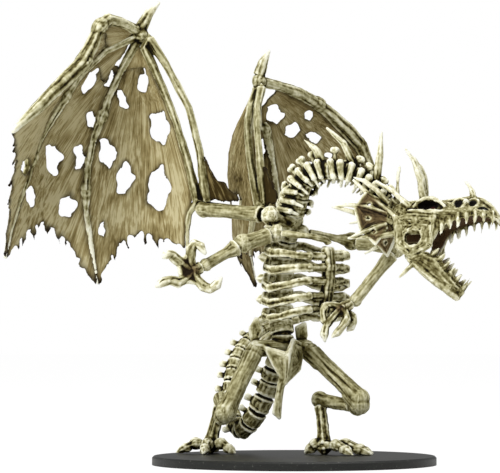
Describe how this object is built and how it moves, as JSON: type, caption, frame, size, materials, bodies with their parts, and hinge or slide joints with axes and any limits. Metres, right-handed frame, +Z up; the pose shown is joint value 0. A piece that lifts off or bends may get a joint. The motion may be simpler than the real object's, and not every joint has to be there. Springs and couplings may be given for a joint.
{
  "type": "skeletal dragon miniature",
  "caption": "Painted display figure of a skeletal dragon striding with torn wings raised, built from separate bone and wing-skin castings on a round black base.",
  "frame": {"origin": "centre of the underside of the round base", "axes": "+Z up, square to the base; +X the way the head points; -Y the side the figure is looked at from"},
  "size_m": [0.2272, 0.2086, 0.2152],
  "materials": {
    "base": "matt black paint",
    "bone": "matt ivory paint with a dark brown wash",
    "wing_skin": "matt tan paint with fine streaks"
  },
  "bodies": {
    "root": {"base": "base", "right_foot": "bone", "left_foot": "bone", "right_shin": "bone", "left_shin": "bone", "right_thigh": "bone", "left_thigh": "bone", "pelvis": "bone", "tail_root": "bone", "tail_loop": "bone", "tail_tip": "bone", "back_spine": "bone", "right_ribs": "bone", "left_ribs": "bone", "shoulder_girdle": "bone", "right_collarbone": "bone", "left_collarbone": "bone", "right_upper_arm": "bone", "left_upper_arm": "bone", "right_forearm": "bone", "left_forearm": "bone", "right_hand": "bone", "left_hand": "bone", "right_wing_arm": "bone", "left_wing_arm": "bone", "right_wing_forearm": "bone", "left_wing_forearm": "bone", "right_wing_fingers": "bone", "left_wing_fingers": "bone", "right_skin_outer": "wing_skin", "right_skin_middle": "wing_skin", "right_skin_inner": "wing_skin", "left_skin_outer": "wing_skin", "left_skin_middle": "wing_skin", "left_skin_inner": "wing_skin", "right_fore_web": "wing_skin", "left_fore_web": "wing_skin", "neck_lower": "bone", "neck_upper": "bone", "skull": "bone", "lower_jaw": "bone", "right_frill": "bone", "left_frill": "bone"}
  },
  "joints": []
}
